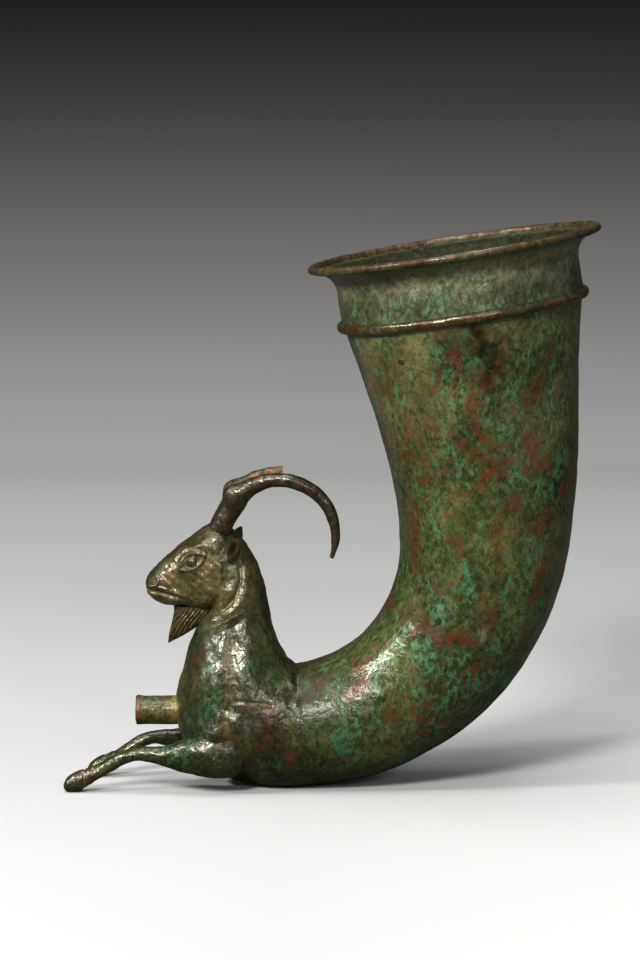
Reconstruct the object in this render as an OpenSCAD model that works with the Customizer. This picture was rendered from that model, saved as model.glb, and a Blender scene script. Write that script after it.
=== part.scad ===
/* [Mouth] */
// Outer radius of the flared lip
lip_r = 63; // [60:0.2:68]
// Radius of the rounded bead that ends the lip
lip_bead_r = 1.9; // [1.5:0.1:2.6]
// Outer radius of the collar's straight wall
collar_r = 52; // [51.6:0.1:53.4]
// Height of the collar, from the rim down to its lower edge
collar_len = 28; // [22:0.5:36]
// Thickness of the collar's wall
collar_wall = 1.3; // [1.1:0.1:1.8]
// Radius of the round moulding that covers the collar's lower edge
cordon_r = 2.3; // [1.8:0.1:3]

/* [Horn] */
// Outer radius of the horn where it meets the collar
horn_top_r = 51.3; // [51:0.1:51.5]
// Outer radius of the horn halfway along its length
horn_mid_r = 35.4; // [33:0.2:38]
// Outer radius of the horn where it meets the animal
tail_r = 25.6; // [24.6:0.1:27]
// Thickness of the horn's beaten wall
horn_wall = 0.8; // [0.6:0.1:1.2]
// Length of the straight upper part, from the rim down
beaker_len = 78; // [66:1:96]
// Lean of the mouth from upright, towards the animal
beaker_lean = 8.8; // [4:0.2:13]
// Bend radius of the horn's axis under the straight part
upper_bend_r = 220; // [180:5:260]
// Turn of that upper bend, in degrees
upper_bend_deg = 13.6; // [9:0.2:18]
// Bend radius of the horn's axis near the table
lower_bend_r = 87; // [80:0.5:94]
// Rise of the horn's axis at its seam with the animal, in degrees
seam_deg = 7; // [4:0.5:9]

/* [Forequarters] */
// Length of the chest, from the middle of the worn flat to the breast
chest_len = 45.4; // [42:0.2:50]
// Width of the ledge in the chest, round the socket for the horn's tail
socket_ledge = 3.6; // [3:0.1:4.4]
// Radius of the funnel's mouth, which leads the drink to the spout
funnel_r = 13; // [9:0.5:16]
// Height of the neck, from the saddle to the seam under the head
neck_len = 32.2; // [29:0.2:37]
// Width of the neck at the seam under the head
neck_wide = 31; // [28:0.5:34]
// Depth of the flat worn on the underside, on which the vessel rests
rest_depth = 0.8; // [0.5:0.1:1.1]

/* [Head] */
// Length of the head, from the nape to the muzzle
head_len = 52; // [48:0.2:57]
// Height of the head, from the jaw to the crown
head_tall = 36.6; // [34:0.2:40]
// Width of the head at the cheeks
head_wide = 24.5; // [22:0.5:28]
// Radius of each eyeball
eye_r = 3; // [2.6:0.1:3.4]
// Length of the beard below the jaw
beard_len = 16; // [12:0.5:20]
// Width of the beard at the jaw
beard_wide = 9; // [7:0.5:11]

/* [Horns and ears] */
// Radius of a goat horn at its root
root_r = 4.7; // [4.2:0.1:5]
// Radius of a goat horn along its sweep
sweep_wire_r = 3; // [2.5:0.1:3.4]
// Length of a goat horn up to its knee
knee_len = 16; // [12:0.5:18]
// Radius of a goat horn's sweep over the neck
sweep_r = 24; // [21:0.5:27]
// Distance between the middles of the two horn roots
root_gauge = 11; // [10.4:0.2:13]
// Distance between the middles of the two horns where they stand widest
horn_gauge = 24; // [18:0.5:30]
// Share of the broken right horn's length that is left
stump_share = 0.45; // [0.36:0.01:0.6]
// Length of an ear
ear_len = 14; // [12:0.5:16]
// Width of an ear
ear_wide = 8; // [6:0.5:9]

/* [Forelegs] */
// Reach of the left hoof in front of the breast
left_leg_reach = 48; // [43:0.5:54]
// Reach of the right hoof in front of the breast
right_leg_reach = 40; // [36:0.5:54]
// Distance between the middles of the two hooves
hoof_gauge = 30; // [24:0.5:36]
// Distance between the middles of the two forearms beside the chest
elbow_gauge = 42; // [40:0.5:46]
// Depth of a leg at the elbow
elbow_d = 19; // [16:0.5:21]

/* [Spout] */
// Outer radius of the pouring spout
spout_r = 6.5; // [6:0.1:7]
// Radius of the spout's bore
spout_bore_r = 4.7; // [4:0.1:5.2]
// Length of the spout in front of the breast
spout_len = 17.6; // [12:0.2:22]
// Height of the spout's axis above the table
spout_z = 32.5; // [30:0.5:35]

/* [Fits] */
// Clearance between pieces that seat in or on each other
fit_gap = 0.15; // [0.1:0.01:0.25]
// Depth to which the horn's tail enters the chest, and its top the collar
lap_len = 7; // [5:0.5:9]

/* [Hidden] */

// Corners of the sections that are lofted, and rings along each loft
horn_sides = 44;
horn_rings = 20;
body_sides = 36;
chest_rings = 22;
head_rings = 33;
leg_sides = 16;
leg_rings = 28;
goat_horn_sides = 12;
goat_horn_rings = 28;
trim_sides = 16;
trim_rings = 9;

// The table top is at height 0, and the origin is on it in the middle of the flat that wear has left
axis_z = tail_r - rest_depth;
belly_z = axis_z - tail_r;
saddle_z = axis_z + tail_r;

// The horn's axis: a close bend that starts level over the origin, an open bend, and a straight stretch to
// the rim. The horn itself starts a little way up the close bend.
lower_bend_deg = 90 + beaker_lean - upper_bend_deg;
lower_bend_len = lower_bend_r * (lower_bend_deg - seam_deg) * PI / 180;
upper_bend_len = upper_bend_r * upper_bend_deg * PI / 180;
horn_len = lower_bend_len + upper_bend_len + beaker_len;
collar_s = horn_len - collar_len;

// Where a bend of radius r leads, from heading a to heading b, turning left
function bend(r, a, b) = r * [sin(b) - sin(a), cos(a) - cos(b)];
function heading(a) = [cos(a), sin(a)];
function degrees(arc, r) = arc / r * 180 / PI;

seam_at = [0, axis_z] + bend(lower_bend_r, 0, seam_deg);
upper_bend_start = [0, axis_z] + bend(lower_bend_r, 0, lower_bend_deg);
beaker_start = upper_bend_start + bend(upper_bend_r, lower_bend_deg, 90 + beaker_lean);
rim_centre = beaker_start + beaker_len * heading(90 + beaker_lean);

// The axis at the distance s from the seam: [x, z, heading]. Before the seam it runs straight into the chest.
function horn_axis(s) =
    let (b = s - lower_bend_len, c = b - upper_bend_len)
    let (lower = seam_deg + degrees(s, lower_bend_r))
    let (upper = lower_bend_deg + degrees(b, upper_bend_r))
    s <= 0 ? concat(seam_at + s * heading(seam_deg), seam_deg) :
    b <= 0 ? concat(seam_at + bend(lower_bend_r, seam_deg, lower), lower) :
    c <= 0 ? concat(upper_bend_start + bend(upper_bend_r, lower_bend_deg, upper), upper) :
    concat(beaker_start + c * heading(90 + beaker_lean), 90 + beaker_lean);

// The horn widens steadily and flares near its top: the two shares meet its radius halfway along
flare_power = 5;
half_flare = pow(0.5, flare_power);
steady_share = ((horn_mid_r - tail_r) / (horn_top_r - tail_r) - half_flare) / (0.5 - half_flare);
function horn_r(s) =
    let (u = s / collar_s)
    tail_r + (horn_top_r - tail_r) * (steady_share * u + (1 - steady_share) * pow(u, flare_power));

// A smooth line through the rows of v, where t counts the rows from 0
function spline(v, t) =
    let (n = len(v) - 1, i = min(max(floor(t), 0), n - 1), f = t - i, b = v[i], c = v[i + 1])
    let (a = i > 0 ? v[i - 1] : 2 * b - c, d = i < n - 1 ? v[i + 2] : 2 * c - b)
    b + (c - a) * f / 2 + (2 * a - 5 * b + 4 * c - d) * pow(f, 2) / 2 + (3 * b - a - 3 * c + d) * pow(f, 3) / 2;

// A muscle or bone under the skin: [row, angle, reach in rows, reach in degrees, height], on both sides
function turn_between(a, b) = abs((a - b + 540) % 360 - 180);
function both_sides(lumps) = [for (w = lumps) each [w, [w[0], 360 - w[1], w[2], w[3], w[4]]]];
function swell(lumps, t, f) = len(lumps) == 0 ? 0 :
    [for (w = lumps) w[4] * exp(-pow((t - w[0]) / w[2], 2) - pow(turn_between(f, w[1]) / w[3], 2))]
    * [for (w = lumps) 1];

// A rounded section, where st is [x, y, z, half depth, half width, tilt]
function section(st, sides, grow = 0, lumps = [], t = 0) =
    [for (i = [0:sides - 1])
        let (f = 360 * i / sides, lift = grow + swell(lumps, t, f))
        let (a = (st[3] + lift) * cos(f), b = (st[4] + lift) * sin(f))
        [st[0] - sin(st[5]) * a, st[1] + b, st[2] + cos(st[5]) * a]];

// A rib across a body, from its row [back x, back z, front x, front z, half width]
function rib(row) =
    let (back = [row[0], row[1]], front = [row[2], row[3]], d = back - front, m = (back + front) / 2)
    [m[0], 0, m[1], norm(d) / 2, row[4], atan2(-d[0], d[1])];
function ribs(rows, sides, n, grow = 0, lumps = []) =
    [for (i = [0:n])
        let (t = (len(rows) - 1) * i / n)
        section(rib(spline(rows, t)), sides, grow, lumps, t)];

function middle(points) = [for (p = points) 1] * points / len(points);
function joined(lists) = [for (l = lists) each l];

// A closed skin over sections of equal count
module skin(sections) {
    n = len(sections);
    m = len(sections[0]);
    points = concat(joined(sections), [middle(sections[0]), middle(sections[n - 1])]);
    sides = [for (i = [0:n - 2]) for (j = [0:m - 1])
        let (a = i * m + j, b = i * m + (j + 1) % m) each [[a, a + m, b], [b, a + m, b + m]]];
    ends = [for (j = [0:m - 1]) let (k = (j + 1) % m, last = (n - 1) * m)
        each [[n * m, j, k], [n * m + 1, last + k, last + j]]];
    polyhedron(points, faces = concat(sides, ends), convexity = 8);
}

// A skin whose last section joins its first, as on a tube with a wall
module tube_skin(sections) {
    n = len(sections);
    m = len(sections[0]);
    faces = [for (i = [0:n - 1]) for (j = [0:m - 1])
        let (a = i * m + j, b = i * m + (j + 1) % m)
        let (c = (i + 1) % n * m + j, d = (i + 1) % n * m + (j + 1) % m)
        each [[a, b, c], [b, d, c]]];
    polyhedron(joined(sections), faces = faces, convexity = 8);
}

// Everything under the table top, which wears the underside flat
module below_table() {
    translate([-150, -60, -10]) cube([250, 120, 10]);
}

// Mouth collar: a straight wall, a flare and a round bead at the lip, turned about the mouth's axis
flare_r = lip_r - lip_bead_r - collar_r;
flare_z = -2 * lip_bead_r - flare_r;
module at_rim() {
    translate([rim_centre[0], 0, rim_centre[1]]) rotate([0, -beaker_lean, 0]) children();
}
module collar_profile() {
    translate([collar_r - collar_wall, -collar_len]) square([collar_wall, collar_len + flare_z]);
    intersection() {
        translate([lip_r - lip_bead_r, flare_z]) difference() {
            circle(flare_r + collar_wall, $fn = 96);
            circle(flare_r, $fn = 96);
        }
        translate([0, flare_z]) square([lip_r - lip_bead_r, flare_r + collar_wall]);
    }
    translate([lip_r - lip_bead_r, -lip_bead_r]) circle(lip_bead_r, $fn = 48);
}
module mouth_collar() {
    color([0.3, 0.34, 0.24]) at_rim() rotate_extrude($fn = 96) collar_profile();
}

// Cordon ring: a round moulding with a rebate that fits over the collar's lower edge
module cordon_ring() {
    color([0.4, 0.22, 0.14]) at_rim() rotate_extrude($fn = 96) difference() {
        translate([collar_r, -collar_len]) circle(cordon_r, $fn = 48);
        translate([0, -collar_len]) square([collar_r + fit_gap, 2 * cordon_r]);
        translate([0, -collar_len - 2 * cordon_r]) square([horn_top_r + fit_gap, 2 * cordon_r]);
    }
}

// Horn body: a beaten tube along two bends, with a spigot for the chest below and one for the collar above
socket_r = tail_r - socket_ledge;
spigot_r = socket_r - fit_gap;
collar_spigot_r = collar_r - collar_wall - fit_gap;
horn_stops = concat(
    [[-lap_len, spigot_r], [0, spigot_r]],
    [for (i = [0:horn_rings]) let (s = collar_s * i / horn_rings) [s, horn_r(s)]],
    [[collar_s, collar_spigot_r], [collar_s + lap_len, collar_spigot_r]]);
hollow_stops = concat(
    [[-lap_len, spigot_r - horn_wall], [0, spigot_r - horn_wall]],
    [for (i = [1:horn_rings - 1]) let (s = collar_s * i / horn_rings) [s, horn_r(s) - horn_wall]],
    [[collar_s, collar_spigot_r - horn_wall], [collar_s + lap_len, collar_spigot_r - horn_wall]]);
function horn_section(stop) =
    let (p = horn_axis(stop[0]))
    section([p[0], 0, p[1], stop[1], stop[1], p[2]], horn_sides);
module horn_body() {
    color([0.24, 0.3, 0.18]) difference() {
        tube_skin([for (stop = concat(horn_stops, reverse(hollow_stops))) horn_section(stop)]);
        below_table();
    }
}
function reverse(v) = [for (i = [len(v) - 1:-1:0]) v[i]];

// Forequarters: ribs fan out around the saddle, from the horn round the breast and up the neck.
// Back and front of each rib: lengths forward in shares of the chest's length, heights 0 at the belly, 1 at
// the saddle and 2 at the top of the neck. Last is the width, 0 as at the horn, 1 as at the top of the neck.
chest_ribs = [
    [-0.1, 1.1, 0.09, 0, -0.01],
    [-0.06, 1.15, 0.5, 0.08, -0.03],
    [-0.03, 1.22, 0.76, 0.18, 0],
    [0.01, 1.3, 0.92, 0.35, 0.07],
    [0.04, 1.39, 1, 0.59, 0.18],
    [0.06, 1.49, 1, 0.82, 0.34],
    [0.09, 1.63, 0.94, 1, 0.56],
    [0.11, 1.8, 0.89, 1.26, 0.78],
    [0.14, 2, 0.83, 1.5, 1]];
function chest_x(u) = -chest_len * u;
function chest_z(v) = v < 1 ? belly_z + 2 * tail_r * v : saddle_z + neck_len * (v - 1);
seam_top = seam_at + tail_r * heading(90 + seam_deg);
seam_bottom = seam_at - tail_r * heading(90 + seam_deg);
function chest_w(w) = tail_r + (neck_wide / 2 - tail_r) * w;
chest_rows = concat([concat(seam_top, seam_bottom, tail_r)], [for (r = chest_ribs)
    [chest_x(r[0]), chest_z(r[1]), chest_x(r[2]), chest_z(r[3]), chest_w(r[4])]]);
shoulders = both_sides([[3.6, 118, 0.9, 24, 2.2]]);
module chest_skin(grow = 0) {
    skin(ribs(chest_rows, body_sides, chest_rings, grow, shoulders));
}
// A round socket for the horn's tail, a funnel that leads the drink forward, and a hole for the spout
spout_depth = 6;
module tail_socket() {
    translate([seam_at[0], 0, seam_at[1]]) rotate([0, -90 - seam_deg, 0])
        translate([0, 0, -lap_len]) cylinder(r = socket_r, h = 2 * lap_len + fit_gap, $fn = 96);
}
module funnel() {
    spout_root = [chest_x(1) + spout_depth, spout_z];
    run = spout_root - seam_at;
    translate([seam_at[0], 0, seam_at[1]]) rotate([0, atan2(run[0], run[1]), 0])
        cylinder(r1 = funnel_r, r2 = spout_bore_r, h = norm(run), $fn = 96);
}
module spout_hole() {
    translate([chest_x(1) - spout_len, 0, spout_z]) rotate([0, 90, 0])
        cylinder(r = spout_r + fit_gap, h = spout_len + spout_depth, $fn = 64);
}
module forequarters() {
    color([0.22, 0.3, 0.17]) difference() {
        chest_skin();
        tail_socket();
        funnel();
        spout_hole();
        below_table();
    }
}

// Head: its first rib is the neck's last, and the others fan out around the throat and go on to the muzzle.
// Lengths in shares of the head's length and heights in shares of its height, both from the nape.
nape = [chest_rows[len(chest_rows) - 1][0], chest_rows[len(chest_rows) - 1][1]];
head_ribs = [
    [0.02, 0.15, 0.545, -0.27, 1.17],
    [0.07, 0.36, 0.495, -0.19, 1.08],
    [0.145, 0.56, 0.475, -0.16, 1.02],
    [0.245, 0.73, 0.495, -0.15, 1],
    [0.37, 0.84, 0.545, -0.15, 1],
    [0.515, 0.8, 0.615, -0.15, 0.98],
    [0.66, 0.67, 0.69, -0.14, 0.92],
    [0.79, 0.52, 0.78, -0.12, 0.76],
    [0.895, 0.38, 0.865, -0.09, 0.63],
    [0.97, 0.27, 0.935, -0.04, 0.54],
    [1, 0.17, 0.985, 0.04, 0.28]];
function head_x(u) = nape[0] - head_len * u;
function head_z(v) = nape[1] + head_tall * v;
head_rows = concat([chest_rows[len(chest_rows) - 1]], [for (r = head_ribs)
    [head_x(r[0]), head_z(r[1]), head_x(r[2]), head_z(r[3]), head_wide / 2 * r[4]]]);
face = both_sides([
    [6.2, 55, 0.7, 14, 1.5],
    [4.6, 128, 0.9, 24, 1.8],
    [7.4, 95, 0.7, 20, -0.8],
    [9.6, 60, 0.5, 18, 0.6]]);
module head_skin(grow = 0) {
    skin(ribs(head_rows, body_sides, head_rings, grow, face));
}
eye_at = [head_x(0.59), head_wide * 0.41, head_z(0.42)];
module head() {
    color([0.25, 0.3, 0.17]) union() {
        head_skin();
        for (side = [-1, 1]) translate([eye_at[0], side * eye_at[1], eye_at[2]]) sphere(eye_r, $fn = 32);
    }
}

// Beard: a flat tuft under the chin that leans against the throat. Front and back of each rib: lengths in
// shares of the head's, heights in shares of the beard's, down from the jaw. Last is the share of its width.
beard_ribs = [
    [0.77, -0.02, 0.4, -0.02, 1],
    [0.77, 0.16, 0.44, 0.16, 1],
    [0.79, 0.47, 0.56, 0.5, 0.88],
    [0.81, 0.74, 0.66, 0.73, 0.56],
    [0.82, 1, 0.79, 0.96, 0.12]];
function beard_z(v) = head_z(-0.13) - beard_len * v;
beard_rows = [for (r = beard_ribs)
    [head_x(r[0]), beard_z(r[1]), head_x(r[2]), beard_z(r[3]), beard_wide / 2 * r[4]]];
module beard() {
    color([0.4, 0.32, 0.17]) difference() {
        skin(ribs(beard_rows, trim_sides, trim_rings));
        head_skin(fit_gap);
        chest_skin(fit_gap);
    }
}

// Goat horns: straight to a knee, then a long sweep back over the neck
knee_r = 9;
rise_deg = 60;
crest_deg = 42;
tip_deg = -113;
sweep_len = sweep_r * (crest_deg - tip_deg) * PI / 180;
knee_arc = knee_r * (rise_deg - crest_deg) * PI / 180;
goat_horn_len = knee_len + knee_arc + sweep_len;
root_at = [head_x(0.39), head_z(0.8)];
knee_at = root_at + knee_len * heading(rise_deg);
crest_at = knee_at + bend(-knee_r, rise_deg, crest_deg);
function goat_axis(s) =
    let (a = s - knee_len, b = a - knee_arc)
    let (knee = rise_deg - degrees(a, knee_r), sweep = crest_deg - degrees(b, sweep_r))
    a <= 0 ? concat(root_at + s * heading(rise_deg), rise_deg) :
    b <= 0 ? concat(knee_at + bend(-knee_r, rise_deg, knee), knee) :
    concat(crest_at + bend(-sweep_r, crest_deg, sweep), sweep);
function goat_r(u) = spline([root_r, root_r, root_r, sweep_wire_r + 0.4, sweep_wire_r, sweep_wire_r,
    sweep_wire_r, sweep_wire_r * 0.9, sweep_wire_r * 0.8, sweep_wire_r * 0.6, sweep_wire_r * 0.3], 10 * u);
function goat_y(u) = (root_gauge + (horn_gauge - root_gauge) * (1 - cos(180 * min(2 * u, 1))) / 2) / 2;
knee_knob = [[0.19, 180, 0.04, 55, 2.2]];
module goat_horn(side, share) {
    n = round(goat_horn_rings * share);
    difference() {
        skin([for (i = [0:n])
            let (u = share * i / n, p = goat_axis(goat_horn_len * u), r = goat_r(u))
            let (st = [p[0], side * goat_y(u), p[1], r, r, p[2] + 180])
            section(st, goat_horn_sides, 0, knee_knob, u)]);
        head_skin(fit_gap);
    }
}
module left_horn() {
    color([0.27, 0.27, 0.14]) goat_horn(-1, 1);
}
module right_horn() {
    color([0.55, 0.28, 0.2]) goat_horn(1, stump_share);
}

// Ears: cupped leaves that stand out behind the horns
ear_at = [head_x(0.3), head_wide * 0.45, head_z(0.5)];
ear_deg = 48;
ear_sweep = 32;
function ear_cup(w) = [[0.5, 180, 0.4, 50, -0.4 * w]];
module ear(side) {
    difference() {
        translate([ear_at[0], side * ear_at[1], ear_at[2]])
            mirror([0, side < 0 ? 1 : 0, 0]) rotate([ear_deg - 90, 0, -ear_sweep])
            skin([for (i = [0:trim_rings])
                let (u = i / trim_rings, w = ear_wide / 2 * spline([0.55, 0.9, 1, 0.8, 0.16], 4 * u))
                let (st = [0, 0, ear_len * (u - 0.15), w * 0.45 + 0.3, w, -90])
                section(st, trim_sides, 0, ear_cup(w), u)]);
        head_skin(fit_gap);
    }
}
module left_ear() {
    color([0.3, 0.24, 0.14]) ear(-1);
}
module right_ear() {
    color([0.3, 0.24, 0.14]) ear(1);
}

// Forelegs: a rounded elbow against the chest, a forearm, a knee, a fetlock and a hoof on the table.
// Rows: length in shares from the elbow to the toe, then height, depth and width in shares of the elbow's.
elbow_x = chest_x(0.34);
leg_shape = [
    [0, 0.84, 0.04, 0.03],
    [0.02, 0.84, 0.6, 0.4],
    [0.08, 0.85, 0.95, 0.6],
    [0.2, 0.88, 0.98, 0.66],
    [0.31, 0.88, 0.84, 0.6],
    [0.43, 0.84, 0.5, 0.47],
    [0.57, 0.89, 0.32, 0.36],
    [0.65, 0.82, 0.33, 0.34],
    [0.725, 0.66, 0.36, 0.34],
    [0.795, 0.49, 0.36, 0.37],
    [0.84, 0.39, 0.37, 0.35],
    [0.917, 0.235, 0.48, 0.4],
    [0.974, 0.16, 0.36, 0.36],
    [0.996, 0.13, 0.15, 0.2],
    [1, 0.13, 0.03, 0.04]];
toe_in = [0.2, 0.8];
function leg_y(u) =
    let (v = min(max((u - toe_in[0]) / (toe_in[1] - toe_in[0]), 0), 1))
    (elbow_gauge + (hoof_gauge - elbow_gauge) * v) / 2;
module foreleg(side, reach) {
    n = len(leg_shape) - 1;
    run = chest_x(1) - reach - elbow_x;
    difference() {
        skin([for (i = [0:leg_rings])
            let (r = spline(leg_shape, n * i / leg_rings), x = elbow_x + run * r[0], half = elbow_d / 2)
            section([x, side * leg_y(r[0]), 2 * half * r[1], half * r[2], half * r[3], 0], leg_sides)]);
        chest_skin(fit_gap);
        below_table();
    }
}
module left_foreleg() {
    color([0.3, 0.3, 0.2]) foreleg(-1, left_leg_reach);
}
module right_foreleg() {
    color([0.2, 0.26, 0.15]) foreleg(1, right_leg_reach);
}

// Spout: a short tube with softened ends, let into the breast as far as the funnel
module spout() {
    wall = spout_r - spout_bore_r;
    tube_len = spout_len + spout_depth;
    color([0.42, 0.36, 0.2]) translate([chest_x(1) - spout_len, 0, spout_z]) rotate([0, 90, 0])
        rotate_extrude($fn = 64) {
            translate([spout_bore_r, wall / 2]) square([wall, tube_len - wall / 2]);
            translate([spout_bore_r + wall / 2, wall / 2]) circle(wall / 2, $fn = 32);
        }
}

mouth_collar();
cordon_ring();
horn_body();
forequarters();
head();
beard();
left_horn();
right_horn();
left_ear();
right_ear();
left_foreleg();
right_foreleg();
spout();
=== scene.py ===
# %% [markdown]
# # A bronze rhyton, as a lesson in cells
# A rhyton is a drinking horn that pours from its lower end. This one is a beaten bronze horn that bends
# forward into a cast goat with outstretched forelegs, and a spout stands in its breast. Each cell builds
# one piece or one finish, and says what it is on the real cup, how it could be made there, and why it is
# modelled this way.

import bpy
import numpy as np
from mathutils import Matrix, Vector


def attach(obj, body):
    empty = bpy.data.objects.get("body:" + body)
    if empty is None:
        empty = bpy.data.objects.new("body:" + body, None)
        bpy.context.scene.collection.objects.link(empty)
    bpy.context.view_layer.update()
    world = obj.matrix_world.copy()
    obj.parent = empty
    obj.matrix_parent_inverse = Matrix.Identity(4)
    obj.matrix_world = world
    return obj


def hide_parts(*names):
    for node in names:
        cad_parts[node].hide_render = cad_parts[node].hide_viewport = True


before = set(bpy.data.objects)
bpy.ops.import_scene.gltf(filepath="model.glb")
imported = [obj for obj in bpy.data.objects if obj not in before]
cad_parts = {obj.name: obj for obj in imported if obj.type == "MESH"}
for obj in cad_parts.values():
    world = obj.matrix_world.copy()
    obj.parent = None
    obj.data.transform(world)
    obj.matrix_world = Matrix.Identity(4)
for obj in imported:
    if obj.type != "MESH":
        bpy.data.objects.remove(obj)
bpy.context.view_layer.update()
MM = 0.001
print("nodes in the frame:", sorted(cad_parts))

# %% [markdown]
# ## One set of small tools
# The cup has no flat side, so every piece is a grid of points: rings of a section that changes along a
# path. The tools below draw a smooth line through given rows, turn rows into rings, move a surface along
# its own normals, and make the mesh. Lengths are in millimetres until the mesh is made.


# %% Curves and rings
def heading(a):
    """Unit vector [x, z] at the angle a, in degrees: cosine, sine."""
    a = np.radians(a)
    return np.array([np.cos(a), np.sin(a)])


def bend(r, a, b):
    """Where an arc of radius r leads from heading a to heading b: r times [sin b - sin a, cos a - cos b]."""
    a, b = np.radians(a), np.radians(b)
    return r * np.array([np.sin(b) - np.sin(a), np.cos(a) - np.cos(b)])


def spline(rows, t):
    """Catmull-Rom line through rows, at row numbers t: cubics whose end slopes are half the chords."""
    v = np.asarray(rows, float)
    v = v[:, None] if v.ndim == 1 else v
    v = np.vstack([2 * v[:1] - v[1:2], v, 2 * v[-1:] - v[-2:-1]])
    t = np.asarray(t, float)
    i = np.clip(np.floor(t).astype(int), 0, len(v) - 4)
    f = (t - i)[:, None]
    a, b, c, d = v[i], v[i + 1], v[i + 2], v[i + 3]
    slope = (c - a) * f / 2
    square = (2 * a - 5 * b + 4 * c - d) * f**2 / 2
    cube = (3 * b - a - 3 * c + d) * f**3 / 2
    return b + slope + square + cube


def swell(lumps, t, angle):
    """Sum of lumps [row, angle, reach in rows, reach in degrees, height], each with its mirror image."""
    t, angle = t[:, None], angle[None, :]
    total = np.zeros(np.broadcast(t, angle).shape)
    for row, at, rows, degrees, height in lumps:
        for side in (at, 360 - at):
            turn = np.abs((angle - side + 540) % 360 - 180)
            total += height * np.exp(-(((t - row) / rows) ** 2) - (turn / degrees) ** 2)
    return total


def rings(stations, sides, lift=0.0):
    """Rings from stations [x, y, z, half depth, half width, tilt]: ellipses, by cosine and by sine."""
    st = np.asarray(stations, float)[:, None, :]
    f = np.linspace(0, 2 * np.pi, sides, endpoint=False)[None, :]
    a = (st[..., 3] + lift) * np.cos(f)
    b = (st[..., 4] + lift) * np.sin(f)
    tilt = np.radians(st[..., 5])
    return np.stack([st[..., 0] - np.sin(tilt) * a, st[..., 1] + b, st[..., 2] + np.cos(tilt) * a], -1)


def rib_stations(rows):
    """Stations from ribs [back x, back z, front x, front z, half width]: middle, half length and tilt."""
    back, front = rows[:, 0:2], rows[:, 2:4]
    d, m = back - front, (back + front) / 2
    tilt = np.degrees(np.arctan2(-d[:, 0], d[:, 1]))
    return np.column_stack([m[:, 0], 0 * tilt, m[:, 1], np.hypot(d[:, 0], d[:, 1]) / 2, rows[:, 4], tilt])


def normals(grid, loop=False):
    """Unit normals of a grid of rings, from the cross product of its two central differences."""
    around = np.roll(grid, -1, 1) - np.roll(grid, 1, 1)
    along = np.roll(grid, -1, 0) - np.roll(grid, 1, 0) if loop else np.gradient(grid, axis=0)
    n = np.cross(around, along)
    size = np.linalg.norm(n, axis=-1, keepdims=True)
    return n / np.maximum(size, 1e-9)


def push(grid, height, loop=False):
    """Moves every point of the grid by height along the surface's own normal."""
    return grid + normals(grid, loop) * height[..., None]


# %% [markdown]
# ## Marks left by tools and by time
# A chaser's punch leaves grooves along lines, and casting leaves soft lumps. A groove is a function of the
# distance to a line drawn in the side view, and the lumps are a sum of slow waves, so both are made from
# formulas alone.


# %% Grooves, ridges and soft lumps
def line_distance(x, z, points):
    """Distance in the side view from (x, z) to a line through points: the least over its short chords."""
    path = spline(points, np.linspace(0, len(points) - 1, 8 * len(points)))
    nearest = np.full(x.shape, 1e9)
    for p, q in zip(path[:-1], path[1:]):
        d = q - p
        u = np.clip(((x - p[0]) * d[0] + (z - p[1]) * d[1]) / max(d @ d, 1e-9), 0, 1)
        nearest = np.minimum(nearest, np.hypot(x - p[0] - u * d[0], z - p[1] - u * d[1]))
    return nearest


def bell(distance, width):
    """1 where distance is 0, and nearly nothing past two widths: exp(-(distance / width) squared)."""
    return np.exp(-((distance / width) ** 2))


def waves(grid, size, seed):
    """Soft lumps of about the given size, mostly within -1 to 1: a sum of sine waves in random directions."""
    count = 14
    r = np.random.default_rng(seed)
    way = r.normal(size=(count, 3))
    way *= (2 * np.pi / size / np.linalg.norm(way, axis=1) * r.uniform(0.6, 1.5, count))[:, None]
    phase = r.uniform(0, 2 * np.pi, count)
    total = np.zeros(grid.shape[:-1])
    for k, p in zip(way, phase):
        total += np.sin(grid @ k + p)
    return total / count**0.5


# %% Making a piece
# Every point carries three marks from 0 to 1 for its finish: worn is rubbed metal, hollow holds pale earth,
# which on the face is partly a painted highlight, and shade darkens: real stains and the brown lip, and
# painted shade inside the cup, by the seam with the chest, in the head's creases and in the ears' cups.
def make(name, grid, nodes, slot, loop=False, worn=0, hollow=0, shade=0):
    """A piece from a grid of rings: quads between rings, and a fan over each end unless the rings loop."""
    n, m = grid.shape[:2]
    points = grid.reshape(-1, 3) * MM
    i, j = np.meshgrid(np.arange(n if loop else n - 1), np.arange(m), indexing="ij")
    k, b = (j + 1) % m, (i + 1) % n
    quads = np.stack([i * m + j, i * m + k, b * m + k, b * m + j], -1).reshape(-1, 4)
    faces = quads.tolist()
    marks = [np.broadcast_to(np.clip(v, 0, 1), (n, m)).reshape(-1) for v in (worn, hollow, shade)]
    if not loop:
        points = np.vstack([points, grid[0].mean(0) * MM, grid[-1].mean(0) * MM])
        j = np.arange(m)
        k = (j + 1) % m
        first = np.stack([np.full(m, n * m), k, j], -1)
        last = np.stack([np.full(m, n * m + 1), (n - 1) * m + j, (n - 1) * m + k], -1)
        faces += first.tolist() + last.tolist()
        marks = [np.append(v, [v[:m].mean(), v[-m:].mean()]) for v in marks]
    mesh = bpy.data.meshes.new(name)
    mesh.from_pydata(points.tolist(), [], faces)
    for label, value in zip(("worn", "hollow", "shade"), marks):
        mesh.attributes.new(label, "FLOAT", "POINT").data.foreach_set("value", value.astype(np.float32))
    mesh.shade_smooth()
    mesh.set_sharp_from_angle(angle=np.radians(SHARP_DEG))
    mesh.update()
    piece = bpy.data.objects.new(name, mesh)
    bpy.context.scene.collection.objects.link(piece)
    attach(piece, "root")
    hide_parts(*nodes)
    made.append((piece, slot))
    low, high = np.round(points.min(0) / MM, 1), np.round(points.max(0) / MM, 1)
    print(f"{name}: {len(faces)} faces, box {low} to {high} mm")


made = []
SHARP_DEG = 50

# %% [markdown]
# ## The horn's shape
# The axis is a close bend over the table, an open bend, and a straight stretch to the rim. These are the
# same numbers as in the construction, so that the looks sit exactly on it.

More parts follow.
